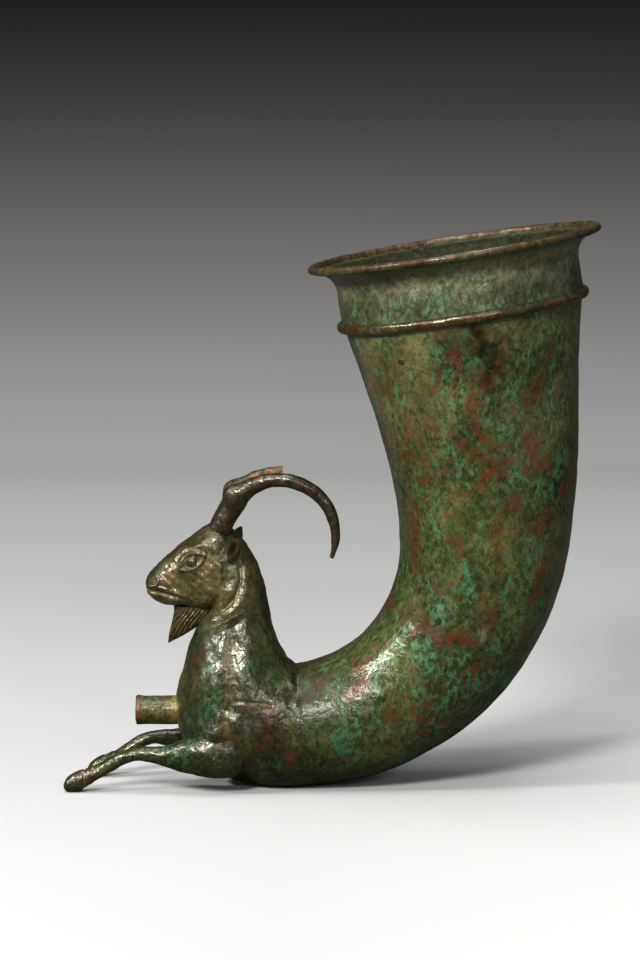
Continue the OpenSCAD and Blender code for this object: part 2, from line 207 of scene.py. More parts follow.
# %% Numbers of the construction
LIP_R, LIP_BEAD, COLLAR_R, COLLAR_LEN, COLLAR_WALL, CORDON_R = 63.0, 1.9, 52.0, 28.0, 1.3, 2.3
HORN_TOP_R, HORN_MID_R, TAIL_R, HORN_WALL, SPIGOT_LEN = 51.3, 35.4, 25.6, 0.8, 7.0
BEAKER_LEN, LEAN, UPPER_R, UPPER_DEG, LOWER_R, SEAM_DEG = 78.0, 8.8, 220.0, 13.6, 87.0, 7.0
REST, CHEST_LEN, NECK_LEN, NECK_WIDE, SPOUT_Z = 0.8, 45.4, 32.2, 31.0, 32.5
HEAD_LEN, HEAD_TALL, HEAD_WIDE = 52.0, 36.6, 24.5
FIT = 0.15
axis_z = TAIL_R - REST
lower_deg = 90 + LEAN - UPPER_DEG
lower_len = LOWER_R * np.radians(lower_deg - SEAM_DEG)
upper_len = UPPER_R * np.radians(UPPER_DEG)
collar_s = lower_len + upper_len + BEAKER_LEN - COLLAR_LEN
origin = np.array([0, axis_z])
seam_at = origin + bend(LOWER_R, 0, SEAM_DEG)
upper_start = origin + bend(LOWER_R, 0, lower_deg)
beaker_start = upper_start + bend(UPPER_R, lower_deg, 90 + LEAN)
rim = beaker_start + BEAKER_LEN * heading(90 + LEAN)


def horn_axis(s):
    """Axis at the distances s: [x, z, heading], straight before the seam, then two arcs, then straight."""
    s = np.asarray(s, float)
    b = s - lower_len
    c = b - upper_len
    low = SEAM_DEG + np.degrees(np.clip(s, 0, lower_len) / LOWER_R)
    up = lower_deg + np.degrees(np.clip(b, 0, upper_len) / UPPER_R)
    at = seam_at[:, None] + bend(LOWER_R, SEAM_DEG, low) + bend(UPPER_R, lower_deg, up)
    at = at + np.minimum(s, 0) * heading(SEAM_DEG)[:, None] + np.maximum(c, 0) * heading(90 + LEAN)[:, None]
    return np.column_stack([at[0], at[1], np.where(b > 0, up, low)])


def horn_radius(s):
    """Radius at s: a steady widening plus a flare by the fifth power of the share of the length."""
    u = s / collar_s
    steady = ((HORN_MID_R - TAIL_R) / (HORN_TOP_R - TAIL_R) - 0.5**5) / (0.5 - 0.5**5)
    return TAIL_R + (HORN_TOP_R - TAIL_R) * (steady * u + (1 - steady) * u**5)


FILL_TALL, FILL_BACK, FILL_FRONT = 2.1, 12.0, 3.2


def saddle_fill(grid):
    """Metal that rounds the saddle, on top only: highest at the seam, and less by exp(-distance / reach)."""
    d = grid[..., 0] - seam_at[0] + TAIL_R * np.sin(np.radians(SEAM_DEG))
    top = np.clip(np.cos(np.linspace(0, 2 * np.pi, grid.shape[1], endpoint=False)), 0, 1) ** 2
    return FILL_TALL * np.exp(-np.abs(d) / np.where(d > 0, FILL_BACK, FILL_FRONT)) * top


print(f"rim centre at x {rim[0]:.1f}, z {rim[1]:.1f} mm; horn {collar_s:.0f} mm up to its collar")

# %% [markdown]
# ## The horn
# A horn like this could be raised by beating sheet bronze over a stake. Beating leaves soft dents about a
# thumb wide, and this one also has a small knock near the bend. The inner wall shows in the mouth, so the
# grid runs up the outside, over the edge of the spigot, and down the inside.

# %% Horn body
SIDES = 288
KNOCK_AT, KNOCK_WIDE, KNOCK_DEEP = np.array([84.6, -33.0, 70.0]), 3.2, 0.9
STAINS = (((85, -48, 193), 8.0), ((88, -48, 181), 8.0), ((80, -48, 200), 6.0))
s_out = np.linspace(0, collar_s, 230)
s_in = np.linspace(collar_s, 0, 90)
spigot = COLLAR_R - COLLAR_WALL - FIT
outside = np.column_stack([s_out, horn_radius(s_out)])
spigot_top = collar_s + SPIGOT_LEN
top = np.array([[collar_s, spigot], [spigot_top, spigot], [spigot_top, spigot - HORN_WALL]])
inside = np.column_stack([s_in, np.minimum(horn_radius(s_in), spigot) - HORN_WALL])
stops = np.vstack([outside, top, inside])
at = horn_axis(stops[:, 0])
stations = np.column_stack([at[:, 0], 0 * at[:, 0], at[:, 1], stops[:, 1], stops[:, 1], at[:, 2]])
horn = rings(stations, SIDES)
edge = np.clip(np.minimum(stops[:, 0], collar_s - stops[:, 0]) / 12, 0, 1)[:, None]
dents = (0.17 * waves(horn, 38, seed=3) + 0.08 * waves(horn, 14, seed=4)) * edge
knock = bell(np.linalg.norm(horn - KNOCK_AT, axis=-1), KNOCK_WIDE)
horn = push(horn, dents - KNOCK_DEEP * knock, loop=True)
horn[:len(s_out), :, 2] += saddle_fill(horn[:len(s_out)])
horn[..., 2] = np.maximum(horn[..., 2], 0.02)

# Painted shade darkens the inner wall and the horn next to the seam with the chest; a real stain under the
# cordon is dark too. The top is paler, in patches.
dark = (np.arange(len(stops)) >= len(outside) + 2)[:, None] * 0.8 + 0 * dents
broken = np.clip(0.8 + 0.7 * waves(horn, 6, seed=15), 0, 1)
# Painted shade on the horn next to the seam with the chest: it dims the bright saddle and blends the sheet
# into the darker chest.
dark[:len(s_out)] = np.maximum(dark[:len(s_out)], 0.6 * bell(s_out / 22, 1)[:, None])
for spot, reach in STAINS:
    stain = bell(np.linalg.norm(horn - np.array(spot), axis=-1) / reach, 1)
    dark = np.maximum(dark, 0.97 * stain * broken)
patches = np.clip(0.5 + 0.6 * waves(horn, 30, seed=17), 0, 1)
pale_top = 0.55 * bell((collar_s - stops[:, 0]) / 55, 1)[:, None] * patches
make("horn_body_skin", horn, ["horn_body"], "green_patina_sheet", loop=True,
     hollow=np.maximum(0.5 * knock, pale_top), shade=dark)

# %% [markdown]
# ## The mouth
# The collar and its lip could be turned, or rolled over a former. The lip ends in a round bead, worn where
# mouths and hands touched it and brown near its top, and the inside of the mouth is darkened with painted
# shade. The cordon that hides the joint is worn down to red cuprite on its edge. Both are profiles turned
# about the mouth's axis.


# %% Mouth collar and cordon
def at_rim(profile, sides):
    """Rings turned about the mouth's axis from a profile [radius, height]: each height is one ring."""
    f = np.linspace(0, 2 * np.pi, sides, endpoint=False)[None, :]
    r, h = profile[:, 0][:, None], profile[:, 1][:, None] + 0 * f
    x, y = r * np.cos(f), r * np.sin(f)
    c, s = np.cos(np.radians(LEAN)), np.sin(np.radians(LEAN))
    return np.stack([rim[0] + x * c - h * s, y, rim[1] + x * s + h * c], -1)


def arc(cx, cy, r, a, b, n):
    """Points on a circle of radius r about (cx, cy) from the angle a to b, in degrees."""
    f = np.radians(np.linspace(a, b, n))
    return np.column_stack([cx + r * np.cos(f), cy + r * np.sin(f)])


bead_x = LIP_R - LIP_BEAD
flare_r = bead_x - COLLAR_R
flare_z = -2 * LIP_BEAD - flare_r
wall = np.linspace(-COLLAR_LEN, flare_z, 40)
outer_wall = np.column_stack([0 * wall + COLLAR_R, wall])
inner_wall = outer_wall[::-1] - [COLLAR_WALL, 0]
flare_out = arc(bead_x, flare_z, flare_r, 180, 90, 34)[1:]
flare_in = arc(bead_x, flare_z, flare_r + COLLAR_WALL, 100, 180, 34)
bead = arc(bead_x, -LIP_BEAD, LIP_BEAD, -90, 160, 40)[1:]
profile = np.vstack([outer_wall, flare_out, bead, flare_in, inner_wall[1:]])
collar = at_rim(profile, SIDES)
height = profile[:, 1][:, None]
lip_mark = np.clip((height + 2.9) / 1.6, 0, 1) * np.clip(0.8 + 0.4 * waves(collar, 16, seed=5), 0, 1)
wear = -0.22 * (0.5 + 0.5 * np.clip(waves(collar, 30, seed=6), -1, 1))
wear = wear + 0.1 * (np.clip(waves(collar, 7, seed=8), -1, 1) - 1)
collar = push(collar, wear, loop=True)
row = np.arange(len(profile))[:, None]
outer_rows = len(outer_wall) + len(flare_out)
patches = np.clip(0.75 + 0.4 * waves(collar, 24, seed=16), 0.3, 1)
under_lip = bell(height + 9, 6.5) * (row < outer_rows) * patches
brown = np.clip((height + 6) / 5, 0, 1) * np.clip(0.65 + 0.4 * waves(collar, 26, seed=7), 0.35, 0.85)
# Painted shade darkens the inside of the mouth; the brown near the top of the lip is its own colour.
dark = np.maximum(np.clip((row - outer_rows - 30) / 16, 0, 1) * 0.86, brown)
make("mouth_collar_skin", collar, ["mouth_collar"], "pale_patina", loop=True,
     worn=lip_mark, hollow=under_lip, shade=dark)

ring = np.vstack([
    arc(COLLAR_R, -COLLAR_LEN, CORDON_R, -100, 88, 48),
    [[COLLAR_R + FIT, -COLLAR_LEN + 2.2], [COLLAR_R + FIT, -COLLAR_LEN], [HORN_TOP_R + FIT, -COLLAR_LEN]],
    [[HORN_TOP_R + FIT, -COLLAR_LEN - 2.0]]])
cordon = at_rim(ring, SIDES)
out = np.clip((ring[:, 0][:, None] - COLLAR_R) / CORDON_R, 0, 1)
cordon_mark = out**5 * np.clip(0.7 + 0.5 * waves(cordon, 18, seed=9), 0.2, 1)
cordon = push(cordon, -0.14 * (1 + np.clip(waves(cordon, 9, seed=10), -1, 1)) * out, loop=True)
make("cordon_ring_skin", cordon, ["cordon_ring"], "red_worn_moulding", loop=True, worn=cordon_mark)

# %% [markdown]
# ## The goat's chest, neck and head
# The forequarters could be cast by lost wax. Ribs fan out around the saddle from the horn's end to the top
# of the neck, and then around the throat to the muzzle. One line of ribs runs through both castings, so the
# neck has no step.

# %% Ribs of the body
chest_ribs = np.array([
    [-0.1, 1.1, 0.09, 0, -0.01], [-0.06, 1.15, 0.5, 0.08, -0.03], [-0.03, 1.22, 0.76, 0.18, 0],
    [0.01, 1.3, 0.92, 0.35, 0.07], [0.04, 1.39, 1, 0.59, 0.18], [0.06, 1.49, 1, 0.82, 0.34],
    [0.09, 1.63, 0.94, 1, 0.56], [0.11, 1.8, 0.89, 1.26, 0.78], [0.14, 2, 0.83, 1.5, 1]])
head_ribs = np.array([
    [0.02, 0.15, 0.545, -0.27, 1.17], [0.07, 0.36, 0.495, -0.19, 1.08], [0.145, 0.56, 0.475, -0.16, 1.02],
    [0.245, 0.73, 0.495, -0.15, 1], [0.37, 0.84, 0.545, -0.15, 1], [0.515, 0.8, 0.615, -0.15, 0.98],
    [0.66, 0.67, 0.69, -0.14, 0.92], [0.79, 0.52, 0.78, -0.12, 0.76], [0.895, 0.38, 0.865, -0.09, 0.63],
    [0.97, 0.27, 0.935, -0.04, 0.54], [1, 0.17, 0.985, 0.04, 0.28]])
saddle_z = axis_z + TAIL_R


def chest_z(v):
    """Height on the chest: 0 at the belly, 1 at the saddle, 2 at the top of the neck."""
    return np.where(v < 1, axis_z - TAIL_R + 2 * TAIL_R * v, saddle_z + NECK_LEN * (v - 1))


def chest_row(r):
    """Ribs of the chest in mm, from shares of its length, height and width."""
    wide = TAIL_R + (NECK_WIDE / 2 - TAIL_R) * r[:, 4]
    back = [-CHEST_LEN * r[:, 0], chest_z(r[:, 1])]
    front = [-CHEST_LEN * r[:, 2], chest_z(r[:, 3])]
    return np.column_stack([*back, *front, wide])


up = TAIL_R * heading(90 + SEAM_DEG)
chest_rows = np.vstack([[*(seam_at + up), *(seam_at - up), TAIL_R], chest_row(chest_ribs)])
nape = chest_rows[-1, :2]


def head_x(u):
    """Place along the head: 0 at the nape, 1 at the end of the muzzle."""
    return nape[0] - HEAD_LEN * u


def head_z(v):
    """Height on the head: 0 at the nape, 1 a little over the crown."""
    return nape[1] + HEAD_TALL * v


head_rows = np.column_stack([
    head_x(head_ribs[:, 0]), head_z(head_ribs[:, 1]), head_x(head_ribs[:, 2]), head_z(head_ribs[:, 3]),
    HEAD_WIDE / 2 * head_ribs[:, 4]])
NECK = len(chest_rows) - 1

# Two rings of the horn lead the line in, so that it starts along the horn.
leads = []
for bx, bz, turn in horn_axis([16.0, 8.0]):
    lift = horn_radius(np.hypot(bx - seam_at[0], bz - seam_at[1])) * heading(90 + turn)
    leads.append([bx + lift[0], bz + lift[1], bx - lift[0], bz - lift[1], np.hypot(*lift)])
body_rows = np.vstack([leads, chest_rows, head_rows])
angles = np.linspace(0, 360, SIDES, endpoint=False)
shoulders = [[3.6, 118, 0.9, 24, 2.2]]
face_lumps = [
    [6.2, 55, 0.7, 14, 1.5], [4.6, 128, 0.9, 24, 1.8], [7.4, 95, 0.7, 20, -0.8], [9.6, 60, 0.5, 18, 0.6]]
print(f"{len(chest_rows)} ribs in the chest, {len(head_rows)} in the head, nape at {np.round(nape, 1)} mm")


def body(t):
    """Rings of the one body from the horn's seam to the muzzle, at the row numbers t, with their muscles."""
    lift = swell(shoulders, t, angles) + swell(face_lumps, t - NECK, angles)
    return rings(rib_stations(spline(body_rows, t + len(leads))), SIDES, lift)


# %% Chest and neck
# Muscles and grooves are drawn in the side view, and side keeps them off the parts that face up or forward.
t = np.linspace(0, NECK, 190)
chest = body(t)
side = np.clip(np.abs(normals(chest)[..., 1]) * 1.6, 0, 1)
x, z = chest[..., 0], chest[..., 2]
fade = np.clip(t / 0.6, 0, 1)[:, None] * np.clip((NECK - t) / 0.5, 0, 1)[:, None]
throat = bell(line_distance(x, z, [(-20, 74), (-20.5, 62), (-21.5, 50), (-23, 38)]), 4.0)
fold = bell(line_distance(x, z, [(-12, 71), (-9, 60), (-6, 52)]), 2.6)
point = bell(np.hypot((x + 30.0) / 4.6, (z - 23) / 5.5), 1)
blade = bell(np.hypot((x + 14.5) / 5.2, (z - 21) / 9), 1)
between = bell(line_distance(x, z, [(-24, 32), (-22.5, 22), (-24, 12)]), 2.2)
scar = bell(line_distance(x, z, [(-20, 41), (-12, 40.2), (-4, 39)]), 0.7)
sculpt = side * (-1.6 * throat - 0.5 * fold + 1.6 * point + 1.7 * blade - 1.1 * between - 0.35 * scar)
lumps = 0.2 * waves(chest, 16, seed=11) + 0.1 * waves(chest, 6, seed=12)
chest = push(chest, (sculpt + lumps) * fade)
chest[..., 2] += saddle_fill(chest)
chest[..., 2] = np.maximum(chest[..., 2], 0.0)
spout_root = bell(np.hypot(z - SPOUT_Z, chest[..., 1]) - 7.6, 1.6) * (x < -36)
hollow = side * np.clip(0.12 * throat + 0.35 * between + 0.3 * scar, 0, 1) + 0.8 * spout_root
hollow += 0.5 * bell(line_distance(x, z, [(-45, 66), (-43.5, 58), (-43.8, 50), (-46, 42)]), 2.2)
make("chest_and_neck", chest, ["forequarters"], "green_patina_cast", hollow=hollow)

# %% [markdown]
# ## The head
# Such details could be cut in the wax and sharpened with a punch: an almond eye with lids and a ball, a
# mouth line between lips, a nostril, and a groove round the jaw up to the ear with a rope-like ridge
# behind it. The head swells where the horns grow from it.


# %% Head
EYE_AT, EYE_TILT, EYE_LONG, EYE_BALL_R = (-38.0, 98.5), 30, 6.0, 2.2
NOSTRIL_AT = (-55.4, 90.2)
HORN_ROOT_AT = (-27.0, 6.0, 110.0)


def eye_marks(x, z, centre, tilt):
    """Lid, crease, inside, ball and inner ring of an almond eye, from the share of the way to its edge."""
    dx, dz = x - centre[0], z - centre[1]
    c, s = np.cos(np.radians(tilt)), np.sin(np.radians(tilt))
    u, v = dx * c + dz * s, -dx * s + dz * c
    half = (3.0 + 0.5 * np.sign(v)) * np.sqrt(np.clip(1 - (u / EYE_LONG) ** 2, 0.0, 1)) ** 1.5 + 0.05
    share = np.hypot(v / half, (u / EYE_LONG) ** 4)
    rim_gap = (np.abs(v) - half) * np.clip(1.1 - np.abs(u) / 12, 0, 1)
    beyond = np.clip((np.abs(u) - EYE_LONG) / 0.8, 0, None) ** 2
    lid = np.exp(-((rim_gap / 0.5) ** 2) - beyond)
    crease = np.exp(-(((rim_gap - 1.5) / 0.5) ** 2) - beyond * 0.4) * (v > 0)
    inside = 1 / (1 + np.exp((share - 0.85) * 9))
    ball = np.sqrt(np.clip(1 - (u**2 + (v - 0.3) ** 2) / EYE_BALL_R**2, 0, 1))
    inner = bell(share - 0.62, 0.13)
    return lid, crease, inside, ball, inner


t = np.concatenate([np.linspace(NECK, NECK + 3, 70)[:-1], np.linspace(NECK + 3, NECK + 11, 240)])
head = body(t)
side = np.clip(np.abs(normals(head)[..., 1]) * 1.7 - 0.15, 0, 1)
x, z = head[..., 0], head[..., 2]
lid, crease, inside, ball, inner = eye_marks(x, z, EYE_AT, EYE_TILT)
mouth_line = [(-60, 86.6), (-56, 86.0), (-51, 85.0), (-46, 83.4), (-42, 82.0)]
mouth = line_distance(x, z, mouth_line)
lips = np.clip((-41 - x) / 5, 0, 1)
nostril = np.hypot((x - NOSTRIL_AT[0]) / 1.5, (z - NOSTRIL_AT[1]) / 0.85)
wing = bell(np.hypot(x + 55.0, z - 90.4) - 2.4, 0.7) * (x > -55.6)
jaw_line = [
    (-44, 79.0), (-39, 76.6), (-33, 76.0), (-27, 77.6), (-22.4, 80.8), (-19, 85.5), (-17.2, 91), (-17.6, 96)]
jaw = line_distance(x, z, jaw_line)
rope_line = [(-40, 73.0), (-33, 72.6), (-26, 74.2), (-20, 78), (-16, 84), (-14.2, 91), (-14.6, 98)]
rope = line_distance(x, z, rope_line)
brow = bell(line_distance(x, z, [(-45, 100), (-40, 104), (-34, 106), (-28, 104)]), 1.5)
cheek = bell(np.hypot((x + 29.5) / 8, (z - 85.5) / 7), 1)
wrinkle = bell(line_distance(x, z, [(-50, 92), (-47.5, 90), (-45.5, 87)]), 0.8)
eye = 0.55 * lid - 0.35 * crease - 0.6 * inside * (1 - ball) + 0.8 * inside * ball + 0.3 * inner
lip = 0.55 * bell(mouth - 1.7, 0.9) - 1.4 * bell(mouth, 0.55)
lips_all = lips * np.maximum(side, np.clip((-53 - x) / 3, 0, 1))
root_x, root_y, root_z = HORN_ROOT_AT
far = np.sqrt((x - root_x) ** 2 + (np.abs(head[..., 1]) - root_y) ** 2 + (z - root_z) ** 2)
root = bell(far / 7, 1)
sculpt = side * (eye - 0.8 * bell(nostril, 1) + 0.45 * wing + 0.5 * brow + 0.9 * cheek)
sculpt = sculpt + lips_all * lip + 1.9 * root
sculpt += side * (-1.2 * bell(jaw, 0.9) + 0.38 * bell(rope, 1.5) - 0.4 * wrinkle)
fade = np.clip((t - NECK) / 0.5, 0, 1)[:, None]
lumps = 0.14 * waves(head, 9, seed=13) + 0.07 * waves(head, 3.5, seed=14)
smooth_eye = 1 - 0.8 * np.clip(inside + lid, 0, 1)
end = np.clip((t[-1] - t) / 0.25, 0, 1)[:, None]
head = push(head, (sculpt + lumps * smooth_eye) * fade * end)
hollow = side * np.clip(0.65 * bell(jaw, 1.2) + 0.4 * lips * bell(mouth, 1.2) + bell(nostril, 1.2), 0, 1)
hollow += side * np.clip(0.25 * inside * (1 - ball) + 0.4 * crease + 0.3 * bell(jaw - 5, 3), 0, 1)
worn = side * np.clip(0.35 * lid + 0.4 * inside * ball, 0, 1) + 0.15 * bell(mouth - 1.7, 0.9) * lips
# Painted shade in the mouth line, in the eye's hollow around its ball and in the crease above it; the muzzle
# around the nostril is darker too.
shade = 0.35 * bell(np.hypot(x + 57, z - 91) / 5, 1) + 0.5 * bell(mouth, 0.6) * lips_all
shade += side * (0.35 * inside * (1 - ball) + 0.3 * crease)
# Pale patches on the side of the face in front of x -26 are partly pale earth and partly a painted highlight
# that lightens the cheeks and muzzle.
hollow += 0.38 * side * (x < -26) * np.clip(0.5 + 0.6 * waves(head, 11, seed=18), 0, 1)
make("head_skin", head, ["head"], "green_patina_cast", worn=worn, hollow=hollow, shade=shade)

# %% [markdown]
# ## The beard
# A flat tuft under the chin, combed in slanting strands that were cut with a tracer.

# %% Beard
beard_ribs = np.array([
    [0.77, -0.02, 0.4, -0.02, 1], [0.77, 0.16, 0.44, 0.16, 1], [0.79, 0.47, 0.56, 0.5, 0.88],
    [0.81, 0.74, 0.66, 0.73, 0.56], [0.82, 1, 0.79, 0.96, 0.12]])
BEARD_LEN, BEARD_WIDE, STRAND_WIDE = 16.0, 9.0, 1.55


def beard_z(v):
    """Height on the beard: 0 at the chin, 1 at the tip."""
    return head_z(-0.13) - BEARD_LEN * v


beard_rows = np.column_stack([
    head_x(beard_ribs[:, 0]), beard_z(beard_ribs[:, 1]), head_x(beard_ribs[:, 2]), beard_z(beard_ribs[:, 3]),
    BEARD_WIDE / 2 * beard_ribs[:, 4]])
beard = rings(rib_stations(spline(beard_rows, np.linspace(0, 4, 150))), 160)
x, z = beard[..., 0], beard[..., 2]
side = np.clip(np.abs(normals(beard)[..., 1]) * 1.5, 0, 1)
strand = (x * 0.86 - z * 0.5) + 0.5 * np.sin(z / 2.6)
comb = np.abs(np.sin(strand * np.pi / STRAND_WIDE)) ** 0.7
fade = np.clip(np.linspace(4, 0, 150) / 0.5, 0, 1)[:, None]
beard = push(beard, side * (0.75 * comb - 0.55) * fade)
make("beard_tuft", beard, ["beard"], "brown_patina_trim", worn=0.4 * comb * side, hollow=side * (1 - comb))

# %% [markdown]
# ## The goat's horns
# Each horn could be cast apart and soldered on. It rises straight to a knee with a knob on its front, then
# sweeps back over the neck and tapers to a point. The right one broke off just past its highest part, and
# the metal is bare there. Both are one round section that follows an axis of two arcs.

# %% Goat horns
ROOT_R, WIRE_R, KNEE_LEN, KNEE_R, SWEEP_R = 4.7, 3.0, 16.0, 9.0, 24.0
RISE, CREST, TIP, ROOT_GAUGE, HORN_GAUGE, STUMP = 60.0, 42.0, -113.0, 11.0, 24.0, 0.45
sweep_len = SWEEP_R * np.radians(CREST - TIP)
knee_arc = KNEE_R * np.radians(RISE - CREST)
goat_len = KNEE_LEN + knee_arc + sweep_len
root_at = np.array([head_x(0.39), head_z(0.8)])
goat_radii = [ROOT_R, ROOT_R, ROOT_R, 3.4, WIRE_R, WIRE_R, WIRE_R, 2.7, 2.4, 1.8, 0.9]


def goat_horn(share, side, n):
    """Rings of a goat horn up to a share of its length, and how far along it each ring lies, in mm."""
    u = np.linspace(0, share, n)
    s = u * goat_len
    knee = RISE - np.degrees(np.clip(s - KNEE_LEN, 0, knee_arc) / KNEE_R)
    sweep = CREST - np.degrees(np.clip(s - KNEE_LEN - knee_arc, 0, None) / SWEEP_R)
    a = np.where(s > KNEE_LEN + knee_arc, sweep, knee)
    at = root_at[:, None] + np.minimum(s, KNEE_LEN) * heading(RISE)[:, None]
    at = at + bend(-KNEE_R, RISE, knee) + bend(-SWEEP_R, CREST, np.minimum(sweep, CREST))
    r = spline(goat_radii, 10 * u)[:, 0]
    y = (ROOT_GAUGE + (HORN_GAUGE - ROOT_GAUGE) * (1 - np.cos(np.pi * np.minimum(2 * u, 1))) / 2) / 2
    lift = swell([[0.19, 180, 0.04, 55, 1.1]], u, np.linspace(0, 360, 72, endpoint=False))
    grid = rings(np.column_stack([at[0], side * y, at[1], r, r, a + 180]), 72, lift)
    return grid, s


left, s = goat_horn(1.0, -1, 380)
lumps = 0.13 * waves(left, 9, seed=21) + 0.04 * waves(left, 3.2, seed=22)
fade = np.clip((goat_len - s) / 4, 0, 1)[:, None]
left = push(left, lumps * fade)
rubbed = 0.25 * np.clip(waves(left, 12, seed=23), 0, 1)
make("left_horn_skin", left, ["left_horn"], "brown_patina_trim", worn=rubbed)

right, s = goat_horn(STUMP, 1, 190)
lumps = 0.13 * waves(right, 9, seed=24) + 0.04 * waves(right, 3.2, seed=25)
right = push(right, lumps * np.clip((s[-1] - s) / 2 + 0.4, 0, 1)[:, None])
bare = np.clip((s - s[-1] + 9) / 7, 0, 1)[:, None] + 0 * lumps
make("right_horn_stump", right, ["right_horn"], "red_broken_trim", worn=bare)

# %% [markdown]
# ## Ears
# Small cupped leaves that stand out behind the horns. Each is a leaf of changing width, hollowed on its front
# and then turned to its place.

# %% Ears
EAR_LEN, EAR_WIDE, EAR_DEG, EAR_SWEEP = 14.0, 8.0, 48.0, 32.0


def ear(side):
    """Rings of one ear, a leaf of half width w with a bell-shaped cup, and how hollow each point is."""
    u = np.linspace(0, 1, 110)
    w = EAR_WIDE / 2 * spline([0.55, 0.9, 1, 0.8, 0.16], 4 * u)[:, 0]
    a = np.linspace(0, 360, 96, endpoint=False)
    turn = np.abs((a - 180 + 540) % 360 - 180)[None, :]
    cup = -0.4 * w[:, None] * np.exp(-(((u[:, None] - 0.5) / 0.4) ** 2) - (turn / 50) ** 2) * 1.5
    stations = np.column_stack([0 * u, 0 * u, EAR_LEN * (u - 0.15), 0.45 * w + 0.3, w, 0 * u - 90])
    grid = rings(stations, 96, cup)
    p, q = np.radians(EAR_DEG - 90), np.radians(-EAR_SWEEP)
    x, y, z = grid[..., 0], grid[..., 1], grid[..., 2]
    y, z = y * np.cos(p) - z * np.sin(p), y * np.sin(p) + z * np.cos(p)
    x, y = x * np.cos(q) - y * np.sin(q), x * np.sin(q) + y * np.cos(q)
    at = np.array([head_x(0.3), HEAD_WIDE * 0.45, head_z(0.5)])
    grid = np.stack([x + at[0], side * (y + at[1]), z + at[2]], -1)
    hollow = np.clip(-cup / 1.4, 0, 1)
    if side < 0:
        grid, hollow = grid[:, ::-1], hollow[:, ::-1]
    return grid, hollow


for side, label in ((-1, "left"), (1, "right")):
    leaf, cup = ear(side)
    # A darker brown of 0.25 lies all over the ear, and painted shade up to 0.6 more in its cup.
    make(f"{label}_ear_leaf", leaf, [f"{label}_ear"], "brown_patina_trim",
         worn=0.25 * (1 - cup), shade=0.25 + 0.6 * cup)

# %% [markdown]
# ## Forelegs
# The goat leaps or lies with both forelegs stretched forward. Each lies with its round elbow against the
# chest, and has a thin shank, a fetlock and a sloping hoof that reaches the table. Its section changes along
# a straight line, by a table of heights and half widths.

# %% Forelegs
LEFT_REACH, RIGHT_REACH, HOOF_GAUGE, ELBOW_GAUGE, ELBOW_D = 48.0, 40.0, 30.0, 42.0, 19.0
leg_shape = np.array([
    [0, 0.84, 0.04, 0.03], [0.02, 0.84, 0.6, 0.4], [0.08, 0.85, 0.95, 0.6], [0.2, 0.88, 0.98, 0.66],
    [0.31, 0.88, 0.84, 0.6], [0.43, 0.84, 0.5, 0.47], [0.57, 0.89, 0.32, 0.36], [0.65, 0.82, 0.33, 0.34],
    [0.725, 0.66, 0.36, 0.34], [0.795, 0.49, 0.36, 0.37], [0.84, 0.39, 0.37, 0.35], [0.917, 0.235, 0.48, 0.4],
    [0.974, 0.16, 0.36, 0.36], [0.996, 0.13, 0.15, 0.2], [1, 0.13, 0.03, 0.04]])


def foreleg(side, reach, seed):
    """Rings of a foreleg from the elbow to the toe, and its marks: the groove over the hoof is 1."""
    r = spline(leg_shape, np.linspace(0, 14, 320))
    u = r[:, 0]
    elbow = -CHEST_LEN * 0.34
    run = -CHEST_LEN - reach - elbow
    y = (ELBOW_GAUGE + (HOOF_GAUGE - ELBOW_GAUGE) * np.clip((u - 0.2) / 0.6, 0, 1)) / 2
    half = ELBOW_D / 2
    stations = [elbow + run * u, side * y, ELBOW_D * r[:, 1], half * r[:, 2], half * r[:, 3], 0 * u]
    grid = rings(np.column_stack(stations), 128)
    tip = np.clip((1 - u) / 0.03, 0, 1)[:, None] * np.clip(u / 0.03, 0, 1)[:, None]
    fetlock = bell(u[:, None] - 0.845, 0.012) * 0.35
    coronet = bell(u[:, None] - 0.885, 0.006) * -0.4
    lumps = 0.12 * waves(grid, 9, seed=seed) + 0.04 * waves(grid, 3.5, seed=seed + 1)
    grid = push(grid, (lumps + fetlock + coronet) * tip)
    grid[..., 2] = np.maximum(grid[..., 2], 0.0)
    return grid, np.clip(-coronet, 0, 1) + 0 * lumps


for side, reach, label in ((-1, LEFT_REACH, "left"), (1, RIGHT_REACH, "right")):
    leg, marks = foreleg(side, reach, 31 if side < 0 else 41)
    make(f"{label}_foreleg_skin", leg, [f"{label}_foreleg"], "green_patina_cast", hollow=marks)

# %% [markdown]
# ## The spout
# A short tube let into the breast, open right through. Its lip is a little thicker than its barrel.

# %% Spout
SPOUT_R, BORE_R, SPOUT_LEN, SPOUT_DEPTH, SPOUT_LIP_R = 6.5, 4.7, 17.6, 6.0, 0.9
front, back = -CHEST_LEN - SPOUT_LEN, -CHEST_LEN + SPOUT_DEPTH
barrel = np.linspace(2.0, back - front, 60)
thick = SPOUT_R - 0.22 + 0.22 * bell(barrel - 1, 1.6)
lip = arc(SPOUT_LIP_R, BORE_R + SPOUT_LIP_R, SPOUT_LIP_R, 270, 90, 24)
out_wall = np.column_stack([barrel, thick])
in_wall = np.column_stack([np.linspace(back - front, 1.2, 40), np.full(40, BORE_R)])
tube = np.vstack([lip, out_wall, in_wall])[::-1]
f = np.linspace(0, 2 * np.pi, 128, endpoint=False)[None, :]
x, r = tube[:, 0][:, None] + 0 * f, tube[:, 1][:, None]
spout = np.stack([front + x, r * np.sin(f), SPOUT_Z + r * np.cos(f)], -1)
spout = push(spout, -0.1 * (1 + np.clip(waves(spout, 7, seed=51), -1, 1)), loop=True)
edge = bell(x - 0.6, 1.4) * (r > BORE_R + 0.3)
root = bell(x - SPOUT_LEN, 2.5)
make("spout_tube", spout, ["spout"], "golden_patina_spout", loop=True, worn=0.8 * edge, hollow=root)

